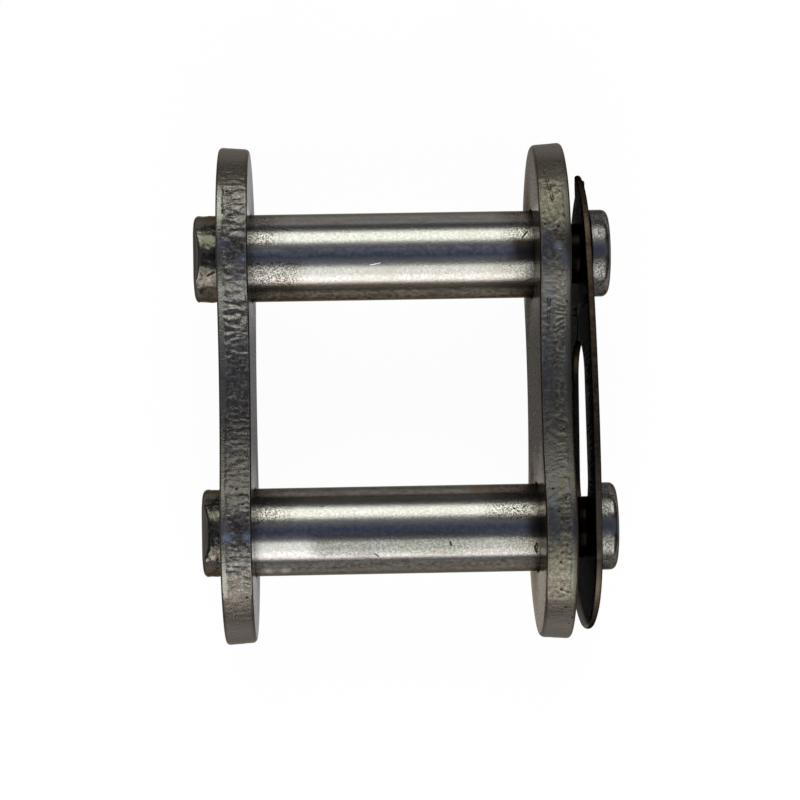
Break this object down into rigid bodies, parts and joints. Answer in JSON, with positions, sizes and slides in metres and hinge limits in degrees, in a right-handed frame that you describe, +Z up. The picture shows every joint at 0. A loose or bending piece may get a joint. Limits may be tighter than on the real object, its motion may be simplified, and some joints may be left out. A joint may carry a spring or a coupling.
{
  "type": "chain connecting link",
  "caption": "Connecting link for a one inch pitch roller chain: fixed plate with staked pins, slip-fit connecting plate and spring clip.",
  "frame": {"origin": "middle of the link: half way between the two pins and half way between the two plates, on the plane of the pin axes", "axes": "+X along the pins from the fixed plate to the spring clip, +Y along the chain from the lower pin to the upper pin, +Z up, away from the surface that the plates' long edges lie on"},
  "size_m": [0.0384, 0.046, 0.0206],
  "materials": {
    "plate_steel": "blanked and tumbled dark steel, oily, rough sheared edges",
    "pin_steel": "ground satin steel with fine stains near the plates",
    "clip_steel": "blackened spring steel, brown along the punched edge"
  },
  "bodies": {
    "pin_side": {"fixed_plate": "plate_steel", "upper_pin": "pin_steel", "lower_pin": "pin_steel", "spring_clip": "clip_steel"},
    "loose_plate": {"connecting_plate": "plate_steel"}
  },
  "joints": [
    {"name": "connecting_plate_slide", "type": "slide", "parent": "pin_side", "child": "loose_plate", "axis": [1, 0, 0], "range_m": [-0.0259, 0.0009]}
  ]
}
